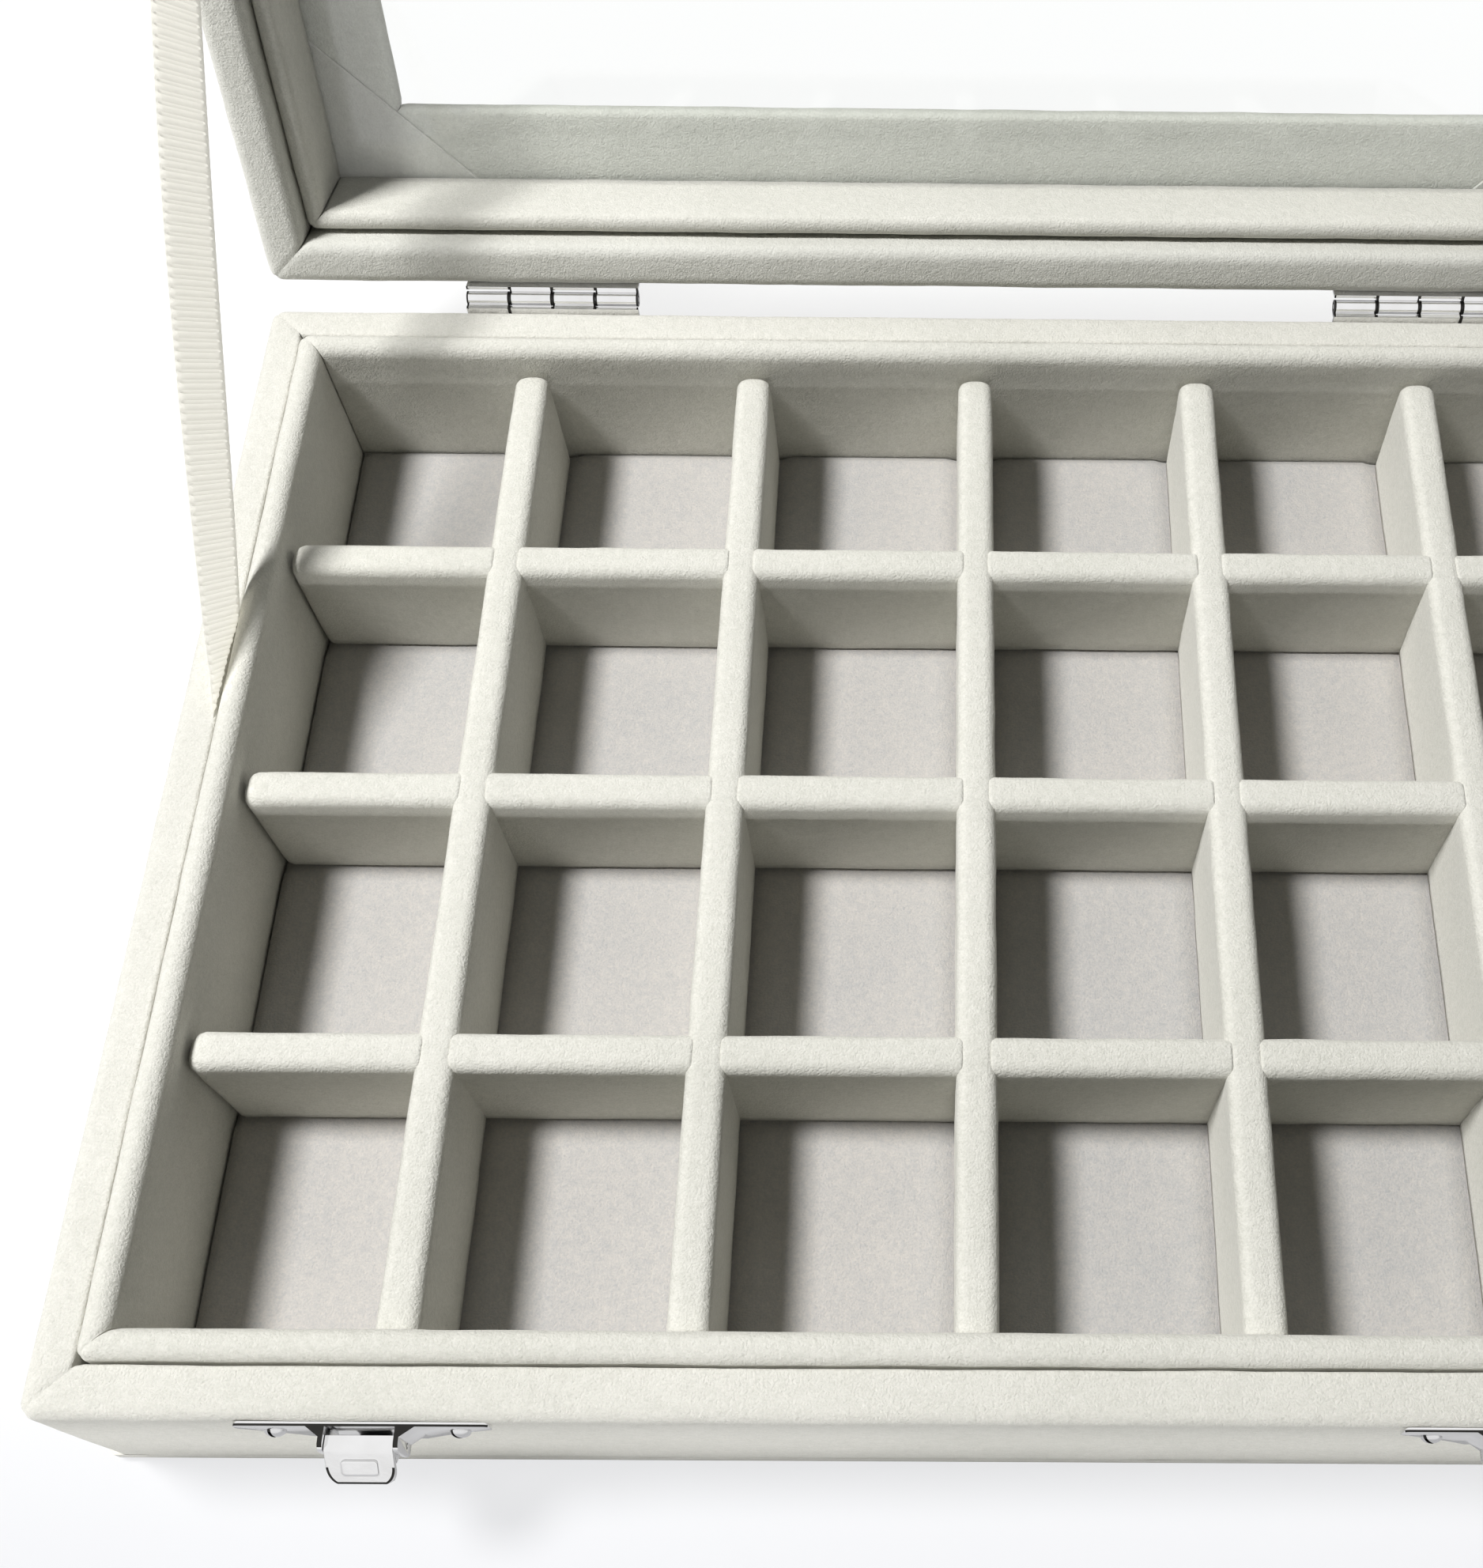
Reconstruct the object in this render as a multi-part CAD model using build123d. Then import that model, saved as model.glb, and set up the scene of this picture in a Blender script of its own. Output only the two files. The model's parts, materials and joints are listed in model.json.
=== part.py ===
from build123d import *
import os

# A velvet-covered jewelry organizer: a base tray with a grid of ring and earring
# cells, and a hinged display lid with a glass window, held open by one ribbon.
# Origin at the middle of the underside, +X to the right, +Y towards the hinges, +Z up.
# All sizes in millimetres. The lid is drawn closed and then turned open.

# Driving sizes of the case
case_width = 350.0
case_depth = 263.0
base_rim_height = 49.0        # table to the top of the base's outer walls
lid_height = 31.4             # lid rim to the lid's outside top
seam_gap = 0.8                # velvet pile between the closed rims
lid_open_angle = 107.0        # how far the lid stands open on its ribbon

# Boards of the base
bottom_thickness = 4.0
wall_thickness = 8.6
groove_width = 1.0            # slot between outer wall and liner, where the ribbon tucks in
liner_thickness = 6.4
liner_stand = 2.4             # liner above the base rim
floor_height = 13.7           # table to the velvet floor of the cells
pad_crack = 0.5               # gap round the floor pad
rim_outer_round = 3.0
rim_inner_round = 1.2
liner_round = 2.4
upright_chamfer = 1.6         # taken off the case's four upright corners
pad_round = 1.0
bottom_chamfer = 0.6
cut_margin = 1.0              # how far cutting shapes run past what they cut

# Grid of cells
cell_columns = 6
cell_rows = 4
divider_thickness = 8.4
divider_drop = 6.6            # liner top down to divider top
divider_top_round = 3.4
divider_end_chamfer = 1.2
divider_end_gap = 0.4
lap_fit = 0.15                # clearance on each side of a half-lap slot

# Lid
lid_wall_thickness = 10.4     # the lid's wall is padded more than the base's
lid_rim_inner_round = 2.0     # clears the base's liner, which rises into the closed lid
lid_liner_thickness = 4.6
lid_liner_round = 2.0
liner_recess = 5.4            # lid rim in to the lid liner's rim
glass_thickness = 2.0
glass_edge_gap = 0.5
border_thickness = 4.2
border_reach = 33.0           # outer edge in to the window's edge
border_lip_round = 1.7
patch_leg = 38.0              # corner patch along the liner's inner face
patch_thickness = 0.8
patch_edge_gap = 0.4

# Hinges
hinge_inset = 67.5            # case's side in to the middle of the hinge
hinge_shift = 2.7             # both hinges sit a little right of centre
hinge_offset = 3.0            # pin axis behind the back face
hinge_length = 42.4
knuckle_count = 4
knuckle_radius = 1.7
knuckle_gap = 0.16
hinge_pin_radius = 0.9
running_clearance = 0.05
leaf_height = 12.0
leaf_thickness = 0.8
leaf_corner_radius = 1.6
leaf_axis_gap = 0.3
nail_half_spacing = 13.0
nail_drop = 7.6               # pin axis to the row of nails
nail_radius = 0.55
nail_length = 6.0
nail_head_radius = 1.3
nail_head_height = 0.6
fastener_sides = 8            # the small round heads and shanks are drawn eight-sided
head_bevel = 35.0             # slope of a head's rim

# Press latches
latch_inset = 68.5            # case's side in to the middle of the latch
latch_shift = -5.6            # both latches sit a little left of centre
latch_sheet = 0.8
plate_drop = 2.2              # base rim down to the plate's top edge
wing_half_span = 23.4
wing_tip_height = 3.4
wing_height = 14.0
wing_hollow = 0.85            # how far the wings' lower edges curve in
wing_corner_round = 1.3
wing_waist = 9.0              # half width of the plate's full-height middle
ear_inner_gap = 12.8
ear_thickness = 0.9
ear_reach = 5.0
ear_height = 9.6
ear_foot_round = 1.75
cheek_reach = 2.6
lever_width = 12.5
lever_sheet = 1.0
lever_reach = 9.4
lever_fall = 9.6              # base rim down to the thumb tab's edge
lever_corner_radius = 2.6
nose_reach = 2.2              # front face out to the tip of the catch nose
nose_drop = 3.7               # base rim down to the middle of the nose sheet
shoulder_reach = 4.4
lug_thickness = 1.0
latch_pin_radius = 0.6
latch_pin_reach = 3.2
latch_pin_drop = 9.0
lug_radius = 1.6
tail_length = 2.6             # pin axis down to the end of the spring tail
tail_thickness = 1.0
emboss_width = 6.6
emboss_length = 3.4
emboss_height = 0.35
emboss_corner_round = 0.7
spring_thickness = 0.35
spring_width = 6.0
spring_inset = 0.4            # spring's foot above the plate's lower edge
spring_touch_gap = 0.06
tongue_width = 8.0
tongue_gap = 0.1              # between the closed tongue and the base plate
tongue_bite = 0.9             # how far the tongue's lip reaches under the nose
tongue_lift = 0.3             # play between lip and nose
keeper_rise = 2.0             # lid rim up to the keeper's lower edge
keeper_height = 12.0
screw_half_spacing = 17.0
screw_drop = 8.0              # base rim down to the screws
keeper_screw_rise = 7.4
screw_radius = 0.8
screw_length = 6.5
screw_head_radius = 2.0
screw_head_height = 1.1
screw_slot_width = 0.6
screw_slot_depth = 0.6
screw_slot_turn = 35.0
hole_fit = 0.06               # pilot hole over the shank's radius

# Ribbon lid stay
ribbon_width = 18.0
ribbon_thickness = 0.5
ribbon_base_reach = 106.6     # pin axis to the ribbon along the base
ribbon_lid_reach = 129.0      # pin axis to the ribbon along the lid
ribbon_tuck = 19.0            # length hidden in each groove

# Worked out from the sizes above
lid_rim = base_rim_height + seam_gap
hinge_y = case_depth / 2 + hinge_offset
hinge_z = base_rim_height + seam_gap / 2
front_y = -case_depth / 2
wall_inner_x = case_width / 2 - wall_thickness
wall_inner_y = case_depth / 2 - wall_thickness
liner_outer_x = wall_inner_x - groove_width
liner_outer_y = wall_inner_y - groove_width
rail_inner_x = case_width / 2 - lid_wall_thickness
rail_inner_y = case_depth / 2 - lid_wall_thickness
lid_liner_x = rail_inner_x - groove_width
lid_liner_y = rail_inner_y - groove_width
well_x = liner_outer_x - liner_thickness
well_y = liner_outer_y - liner_thickness
liner_top = base_rim_height + liner_stand
divider_top = liner_top - divider_drop
divider_height = divider_top - floor_height
cell_x = (2 * well_x - (cell_columns - 1) * divider_thickness) / cell_columns
cell_y = (2 * well_y - (cell_rows - 1) * divider_thickness) / cell_rows
pitch_x = cell_x + divider_thickness
pitch_y = cell_y + divider_thickness
long_divider_x = [-well_x + (i + 1) * pitch_x - divider_thickness / 2 for i in range(cell_columns - 1)]
cross_divider_y = [well_y - (i + 1) * pitch_y + divider_thickness / 2 for i in range(cell_rows - 1)]
border_underside = lid_rim + lid_height - border_thickness
glass_top = border_underside - patch_thickness
glass_bottom = glass_top - glass_thickness
hinge_reach = case_width / 2 - hinge_inset
latch_reach = case_width / 2 - latch_inset
hinge_x = {"left": hinge_shift - hinge_reach, "right": hinge_shift + hinge_reach}
latch_x = {"left": latch_shift - latch_reach, "right": latch_shift + latch_reach}
sides = ("front", "back", "left", "right")
lid_axis = Axis((0, hinge_y, hinge_z), (1, 0, 0))

parts = {}


def opened(piece):
    """Turns a piece of the closed lid to where it stands open."""
    return piece.rotate(lid_axis, -lid_open_angle)


def side_wedge(side, half_x, half_y, reach, low, high):
    """The space of one board of a mitred frame, between the corner diagonals."""
    over = cut_margin
    if side in ("left", "right"):
        s = -1 if side == "left" else 1
        points = [(s * (half_x + over), half_y + over), (s * (half_x - reach), half_y - reach),
                  (s * (half_x - reach), -half_y + reach), (s * (half_x + over), -half_y - over)]
    else:
        s = -1 if side == "front" else 1
        points = [(half_x + over, s * (half_y + over)), (half_x - reach, s * (half_y - reach)),
                  (-half_x + reach, s * (half_y - reach)), (-half_x - over, s * (half_y + over))]
    return Pos(0, 0, low - over) * extrude(make_face(Polyline(*points, close=True)), high - low + 2 * over)


def mitred(ring, half_x, half_y, reach, low, high):
    """Cuts a closed frame into its four mitred boards."""
    return {side: ring & side_wedge(side, half_x, half_y, reach, low, high) for side in sides}


def long_edge(edges, side, level, outer):
    """A long edge of a mitred board, by its level from below or above, on the case's side or inside."""
    along, across = (Axis.X, Axis.Y) if side in ("front", "back") else (Axis.Y, Axis.X)
    row = edges.filter_by(along).group_by(Axis.Z)[level].sort_by(across)
    return row[0] if outer == (side in ("front", "left")) else row[-1]


def plan(half_x, half_y):
    return Rectangle(2 * half_x, 2 * half_y)


def case_prism(height):
    """The case's outline, its upright corners taken off, up to a height above the table."""
    outline = plan(case_width / 2, case_depth / 2)
    return extrude(chamfer(outline.vertices(), upright_chamfer), height)


def headed_pin(x, y, z, outward, shank_radius, shank_length, head_radius, head_height):
    """A nail or screw along Y: a shank into the board and a low head with a bevelled rim."""
    shank = extrude(RegularPolygon(shank_radius, fastener_sides), -shank_length)
    head = extrude(RegularPolygon(head_radius, fastener_sides), head_height, taper=head_bevel)
    turn = 90 if outward < 0 else -90
    return Pos(x, y, z) * Rot(turn, 0, 0) * (shank + head)


def pilot_hole(x, y, z, radius, depth):
    """A hole along Y through sheet and into the board, centred on the board's face."""
    return Pos(x, y, z) * Rot(90, 0, 0) * extrude(RegularPolygon(radius, fastener_sides), depth, both=True)


# Fastener places, used by the boards, the metal and the fasteners alike
nail_spots = [hinge_x[side] + k * nail_half_spacing for side in hinge_x for k in (-1, 1)]
screw_spots = [latch_x[side] + k * screw_half_spacing for side in latch_x for k in (-1, 1)]
base_nail_z = hinge_z - nail_drop
lid_nail_z = hinge_z + nail_drop
base_screw_z = base_rim_height - screw_drop
lid_screw_z = lid_rim + keeper_screw_rise


def drilled(board, spots, y, z, radius, depth):
    """A board with a row of pilot holes for its nails or screws."""
    for x in spots:
        board -= pilot_hole(x, y, z, radius + hole_fit, depth)
    return board


# Base: bottom board, four mitred outer walls with soft rims
bottom = case_prism(bottom_thickness)
parts["base_bottom"] = chamfer(bottom.faces().sort_by(Axis.Z)[0].edges(), bottom_chamfer)

wall_plan = plan(case_width / 2, case_depth / 2) - plan(wall_inner_x, wall_inner_y)
wall_ring = Pos(0, 0, bottom_thickness) * extrude(wall_plan, base_rim_height - bottom_thickness)
walls = mitred(wall_ring, case_width / 2, case_depth / 2, wall_thickness + groove_width, 0, base_rim_height)
for side in sides:
    board = fillet(long_edge(walls[side].edges(), side, -1, True), rim_outer_round)
    board = fillet(long_edge(board.edges(), side, -1, False), rim_inner_round)
    walls[side] = board & case_prism(base_rim_height)
walls["back"] = drilled(walls["back"], nail_spots, case_depth / 2, base_nail_z, nail_radius, nail_length)
walls["front"] = drilled(walls["front"], screw_spots, front_y, base_screw_z, screw_radius, screw_length)
for side in sides:
    parts[f"base_wall_{side}"] = walls[side]


def liner_boards(half_x, half_y, thickness, low, high, rim_on_top, rim_round):
    """Four mitred liner boards, with both long edges of their rims rounded."""
    ring = Pos(0, 0, low) * extrude(
        plan(half_x, half_y) - plan(half_x - thickness, half_y - thickness), high - low)
    boards = mitred(ring, half_x, half_y, thickness + groove_width, low, high)
    level = -1 if rim_on_top else 0
    for side in sides:
        for outer in (True, False):
            boards[side] = fillet(long_edge(boards[side].edges(), side, level, outer), rim_round)
    return boards


# Base: velvet liner boards, standing proud of the rim, and the padded floor between them
liners = liner_boards(liner_outer_x, liner_outer_y, liner_thickness, bottom_thickness, liner_top,
                      True, liner_round)
for side in sides:
    parts[f"base_liner_{side}"] = liners[side]

pad_base = Pos(0, 0, bottom_thickness) * plan(well_x - pad_crack, well_y - pad_crack)
pad = extrude(pad_base, floor_height - bottom_thickness)
parts["floor_pad"] = fillet(pad.faces().sort_by(Axis.Z)[-1].edges(), pad_round)


def divider(length):
    """A padded divider along X with a full round top and its upright corners taken off."""
    section = Rectangle(divider_thickness, divider_height)
    crest = section.vertices().group_by(Axis.Y)[-1]
    bar = extrude(Plane.YZ * fillet(crest, divider_top_round), length / 2, both=True)
    ends = bar.faces().filter_by(Axis.X).edges()
    bar = chamfer(ends.filter_by(Axis.Z), divider_end_chamfer)
    return Pos(0, 0, floor_height + divider_height / 2) * bar


def lap_slot(upper):
    """The half-height slot where two dividers cross, open above or below."""
    width = divider_thickness + 2 * lap_fit
    height = divider_height / 2 + cut_margin
    middle = floor_height + divider_height / 2
    return Pos(0, 0, middle + (height / 2 if upper else -height / 2)) * Box(width, width, height)


# Cell dividers: egg-crate grid, the front-to-back ones running on over the crossings
for i, x in enumerate(long_divider_x):
    bar = Pos(x, 0, 0) * Rot(0, 0, 90) * divider(2 * well_y - 2 * divider_end_gap)
    for y in cross_divider_y:
        bar -= Pos(x, y, 0) * lap_slot(upper=False)
    parts[f"long_divider_{i + 1}"] = bar
for i, y in enumerate(cross_divider_y):
    bar = Pos(0, y, 0) * divider(2 * well_x - 2 * divider_end_gap)
    for x in long_divider_x:
        bar -= Pos(x, y, 0) * lap_slot(upper=True)
    parts[f"cross_divider_{i + 1}"] = bar


# Lid: four mitred rails of L section, wall and window border in one
leg_ring = extrude(plan(case_width / 2, case_depth / 2) - plan(rail_inner_x, rail_inner_y), lid_height)
window_x = case_width / 2 - border_reach
window_y = case_depth / 2 - border_reach
border_ring = Pos(0, 0, lid_height - border_thickness) * extrude(
    plan(rail_inner_x + cut_margin, rail_inner_y + cut_margin) - plan(window_x, window_y), border_thickness)
rails = mitred(Pos(0, 0, lid_rim) * (leg_ring + border_ring), case_width / 2, case_depth / 2,
               border_reach + cut_margin, lid_rim, lid_rim + lid_height)
for side in sides:
    board = fillet(long_edge(rails[side].edges(), side, -1, True), rim_outer_round)
    board = fillet(long_edge(board.edges(), side, -1, False), border_lip_round)
    board = fillet(long_edge(board.edges(), side, 0, True), rim_outer_round)
    board = fillet(long_edge(board.edges(), side, 0, False), lid_rim_inner_round)
    near_lip = (border_underside - cut_margin, border_underside + cut_margin)
    lip = board.edges().filter_by_position(Axis.Z, *near_lip)
    board = fillet(long_edge(lip, side, 0, False), border_lip_round)
    rails[side] = board & case_prism(lid_rim + lid_height)
rails["back"] = drilled(rails["back"], nail_spots, case_depth / 2, lid_nail_z, nail_radius, nail_length)
rails["front"] = drilled(rails["front"], screw_spots, front_y, lid_screw_z, screw_radius, screw_length)
for side in sides:
    parts[f"lid_rail_{side}"] = opened(rails[side])

# Lid: triangular velvet patches over the border's mitres, glass on them, liner boards under the glass
patch_corner_x = rail_inner_x - patch_edge_gap
patch_corner_y = rail_inner_y - patch_edge_gap
patch_reach = patch_leg + lid_liner_thickness + groove_width - patch_edge_gap
for side_y in ("front", "back"):
    for side_x in ("left", "right"):
        sx, sy = (-1 if side_x == "left" else 1), (-1 if side_y == "front" else 1)
        corner = (sx * patch_corner_x, sy * patch_corner_y)
        outline = Polyline(corner, (corner[0] - sx * patch_reach, corner[1]),
                           (corner[0], corner[1] - sy * patch_reach), close=True)
        sheet = Pos(0, 0, glass_top) * extrude(make_face(outline), patch_thickness)
        parts[f"lid_corner_{side_y}_{side_x}"] = opened(sheet)

glass = Pos(0, 0, glass_bottom) * extrude(plan(rail_inner_x - glass_edge_gap, rail_inner_y - glass_edge_gap),
                                          glass_thickness)
parts["glass_pane"] = opened(glass)

lid_liners = liner_boards(lid_liner_x, lid_liner_y, lid_liner_thickness, lid_rim + liner_recess, glass_bottom,
                          False, lid_liner_round)
for side in sides:
    parts[f"lid_liner_{side}"] = opened(lid_liners[side])


# Butt hinges on the back faces: leaf, rolled knuckles on alternate stretches, and a through pin
def hinge_leaf(x, up):
    """One leaf with its knuckles: up is the lid's leaf, down the base's."""
    sign = 1 if up else -1
    face = Pos(0, sign * (leaf_axis_gap + leaf_height / 2)) * Rectangle(hinge_length, leaf_height)
    free_corners = face.vertices().group_by(Axis.Y)[-1 if up else 0]
    at_back = Plane((x, case_depth / 2, hinge_z), x_dir=(-1, 0, 0), z_dir=(0, 1, 0))
    leaf = extrude(at_back * fillet(free_corners, leaf_corner_radius), leaf_thickness)
    for k in (-1, 1):
        spot = (x + k * nail_half_spacing, case_depth / 2, hinge_z + sign * nail_drop)
        leaf -= pilot_hole(*spot, nail_radius + hole_fit, 2 * leaf_thickness)
    span = hinge_length / knuckle_count
    section = Plane((x, hinge_y, hinge_z), x_dir=(0, 1, 0), z_dir=(1, 0, 0))
    root = Rectangle(hinge_offset, knuckle_radius - leaf_axis_gap)
    curl = Circle(knuckle_radius) + Pos(-hinge_offset / 2, sign * (leaf_axis_gap + knuckle_radius) / 2) * root
    curl -= Circle(hinge_pin_radius + running_clearance)
    for k in range(knuckle_count):
        middle = (k + 0.5) * span - hinge_length / 2
        stretch = span - knuckle_gap
        if (k % 2 == 1) == up:
            leaf += Pos(middle, 0, 0) * extrude(section * curl, stretch / 2, both=True)
    return leaf


for side, x in hinge_x.items():
    parts[f"hinge_{side}_base_leaf"] = hinge_leaf(x, up=False)
    parts[f"hinge_{side}_lid_leaf"] = opened(hinge_leaf(x, up=True))
    hinge_pin = Rot(0, 90, 0) * Cylinder(hinge_pin_radius, hinge_length)
    parts[f"hinge_{side}_pin"] = Pos(x, hinge_y, hinge_z) * hinge_pin

leaf_face = case_depth / 2 + leaf_thickness
nail = (nail_radius, nail_length, nail_head_radius, nail_head_height)
base_nails = [headed_pin(x, leaf_face, base_nail_z, 1, *nail) for x in nail_spots]
lid_nails = [opened(headed_pin(x, leaf_face, lid_nail_z, 1, *nail)) for x in nail_spots]
parts["hinge_nails_base"] = Compound(base_nails)
parts["hinge_nails_lid"] = Compound(lid_nails)


# Press latches: winged plate with ears, sprung thumb lever with a catch nose, keeper on the lid
def winged_plate(top, height, flip):
    """A sheet plate with two tapering wings; its straight edge is at the given height."""
    d = 1 if flip else -1
    tip = (wing_half_span, top + d * wing_tip_height)
    foot = (wing_waist, top + d * height)
    hollow = ((tip[0] + foot[0]) / 2, (tip[1] + foot[1]) / 2 - d * wing_hollow)
    edge = [Polyline((-wing_half_span, top), (wing_half_span, top), tip),
            ThreePointArc(tip, hollow, foot), Line(foot, (-foot[0], foot[1])),
            ThreePointArc((-foot[0], foot[1]), (-hollow[0], hollow[1]), (-tip[0], tip[1])),
            Line((-tip[0], tip[1]), (-wing_half_span, top))]
    face = make_face([e for piece in edge for e in piece.edges()])
    return fillet(face.vertices(), wing_corner_round)


def front_plane(x):
    return Plane((x, front_y, base_rim_height), x_dir=(1, 0, 0), z_dir=(0, -1, 0))


def section_plane(x):
    return Plane((x, front_y, base_rim_height), x_dir=(0, -1, 0), z_dir=(-1, 0, 0))


def latch_plate(x):
    plate = extrude(front_plane(x) * winged_plate(-plate_drop, wing_height, flip=False), latch_sheet)
    for s in (-1, 1):
        inner = ear_inner_gap / 2
        outer = inner + ear_thickness
        ear_plan = make_face(Polyline((s * inner, 0), (s * inner, ear_reach), (s * outer, ear_reach),
                                      (s * outer, cheek_reach), (s * (outer + cheek_reach), latch_sheet),
                                      (s * (outer + cheek_reach), 0), close=True))
        at_top = Plane((x, front_y, base_rim_height - plate_drop), x_dir=(1, 0, 0), z_dir=(0, 0, -1))
        ear = extrude(at_top * ear_plan, ear_height)
        lower_front = ear.edges().filter_by(Axis.X).group_by(Axis.Y)[0]
        plate += fillet(lower_front, ear_foot_round)
        plate -= pilot_hole(x + s * screw_half_spacing, front_y, base_screw_z, screw_radius + hole_fit,
                            2 * latch_sheet)
    axle = Pos(x, front_y - latch_pin_reach, base_rim_height - latch_pin_drop) * Rot(0, 90, 0)
    return plate - axle * Cylinder(latch_pin_radius, ear_inner_gap + 2 * ear_thickness + cut_margin)


def latch_lever(x):
    section = section_plane(x)
    line = FilletPolyline((nose_reach, -nose_drop), (shoulder_reach, -nose_drop),
                          (lever_reach, -lever_fall), radius=lever_sheet)
    bill = extrude(section * trace(line, lever_sheet), lever_width / 2, both=True)
    length = lever_reach + lever_sheet - nose_reach + lever_corner_radius
    outline = RectangleRounded(lever_width, length, lever_corner_radius)
    outline_y = front_y - lever_reach - lever_sheet / 2 + length / 2
    bill &= Pos(x, outline_y, base_rim_height - nose_drop + lever_sheet) * extrude(outline, -2 * lever_fall)
    lever = bill + thumb_emboss(x)
    pin_at = (latch_pin_reach, -latch_pin_drop)
    cheek_outline = Polyline((nose_reach, -nose_drop), (shoulder_reach, -nose_drop),
                             (pin_at[0] + 2 * lug_radius, pin_at[1] + lug_radius),
                             (pin_at[0] + lug_radius, pin_at[1]), (pin_at[0], pin_at[1] - lug_radius),
                             (pin_at[0] - lug_radius, pin_at[1]), close=True)
    lug = make_face(cheek_outline) + Pos(*pin_at) * Circle(lug_radius)
    lug += Pos(pin_at[0], pin_at[1] - tail_length / 2) * Rectangle(tail_thickness, tail_length)
    lug -= Pos(*pin_at) * Circle(latch_pin_radius + running_clearance)
    for s in (-1, 1):
        cheek = extrude(section * lug, lug_thickness / 2, both=True)
        lever += Pos(s * (lever_width - lug_thickness) / 2, 0, 0) * cheek
    web_at = Pos(pin_at[0], pin_at[1] - tail_length + tail_thickness / 2)
    web = web_at * Rectangle(tail_thickness, tail_thickness)
    return lever + extrude(section * web, lever_width / 2, both=True)


def thumb_emboss(x):
    """The raised pad on the lever's sloping face."""
    run, fall = lever_reach - shoulder_reach, lever_fall - nose_drop
    slope = (run ** 2 + fall ** 2) ** 0.5
    outward = Vector(0, -fall / slope, run / slope)
    middle = Vector(x, front_y - (lever_reach + shoulder_reach) / 2,
                    base_rim_height - (lever_fall + nose_drop) / 2)
    face = Plane(middle + outward * (lever_sheet / 2 - emboss_height), x_dir=(1, 0, 0), z_dir=outward)
    pad_outline = RectangleRounded(emboss_width, emboss_length, emboss_corner_round)
    return extrude(face * pad_outline, 2 * emboss_height)


def latch_spring(x):
    """A bent leaf between the plate and the lever's tail."""
    rest = latch_sheet + spring_thickness / 2
    tail_face = latch_pin_reach - tail_thickness / 2 - spring_touch_gap - spring_thickness / 2
    foot = -plate_drop - wing_height + spring_inset
    tip = -latch_pin_drop - tail_length + tail_thickness / 2
    bend = (foot + tip) / 2 - spring_inset
    line = FilletPolyline((rest, foot), (rest, bend), (tail_face, tip), radius=spring_thickness)
    return extrude(section_plane(x) * trace(line, spring_thickness), spring_width / 2, both=True)


def latch_keeper(x):
    outline = winged_plate(seam_gap + keeper_rise, keeper_height, flip=True)
    plate = extrude(front_plane(x) * outline, latch_sheet)
    for s in (-1, 1):
        plate -= pilot_hole(x + s * screw_half_spacing, front_y, lid_screw_z, screw_radius + hole_fit,
                            2 * latch_sheet)
    inside = latch_sheet / 2
    hang = latch_sheet + tongue_gap + latch_sheet / 2
    lip = -nose_drop - lever_sheet / 2 - tongue_lift - latch_sheet / 2
    joggle = seam_gap + keeper_rise
    line = FilletPolyline((inside, joggle + 2 * latch_sheet), (inside, joggle),
                          (hang, joggle - 2 * latch_sheet), (hang, lip),
                          (nose_reach + tongue_bite, lip), radius=latch_sheet / 2)
    return plate + extrude(section_plane(x) * trace(line, latch_sheet), tongue_width / 2, both=True)


for side, x in latch_x.items():
    parts[f"latch_{side}_plate"] = latch_plate(x)
    parts[f"latch_{side}_lever"] = latch_lever(x)
    axle = Pos(x, front_y - latch_pin_reach, base_rim_height - latch_pin_drop) * Rot(0, 90, 0)
    parts[f"latch_{side}_pin"] = axle * Cylinder(latch_pin_radius, ear_inner_gap + 2 * ear_thickness)
    parts[f"latch_{side}_spring"] = latch_spring(x)
    parts[f"latch_{side}_keeper"] = opened(latch_keeper(x))


def slotted_screw(x, z):
    screw = headed_pin(x, front_y - latch_sheet, z, -1, screw_radius, screw_length, screw_head_radius,
                       screw_head_height)
    slot_y = front_y - latch_sheet - screw_head_height
    slot = Rot(0, screw_slot_turn, 0) * Box(2 * screw_head_radius, 2 * screw_slot_depth, screw_slot_width)
    return screw - Pos(x, slot_y, z) * slot


parts["latch_screws_base"] = Compound([slotted_screw(x, base_screw_z) for x in screw_spots])
parts["latch_screws_lid"] = Compound([opened(slotted_screw(x, lid_screw_z)) for x in screw_spots])

# Ribbon stay: a flat strip from the base's left groove to the lid's, tucked into both
open_turn = Location((0, hinge_y, hinge_z), (-lid_open_angle, 0, 0)) * Location((0, -ribbon_lid_reach, 0))
base_end = Vector(groove_width / 2 - wall_inner_x, hinge_y - ribbon_base_reach, base_rim_height)
lid_end = Vector(groove_width / 2 - rail_inner_x, open_turn.position.Y, open_turn.position.Z)
run = (lid_end - base_end).normalized()
facing = run.cross(Vector(0, -run.Z, run.Y)).normalized()
start, finish = base_end - run * ribbon_tuck, lid_end + run * ribbon_tuck
strip_plane = Plane((start + finish) / 2, x_dir=run, z_dir=facing)
strip = Rectangle((finish - start).length, ribbon_width)
parts["ribbon_stay"] = extrude(strip_plane * strip, ribbon_thickness / 2, both=True)

os.makedirs("parts", exist_ok=True)
for name, piece in parts.items():
    export_step(piece, f"parts/{name}.step")
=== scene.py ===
import json
import math

import bmesh
import bpy
from mathutils import Matrix, Vector, noise


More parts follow.
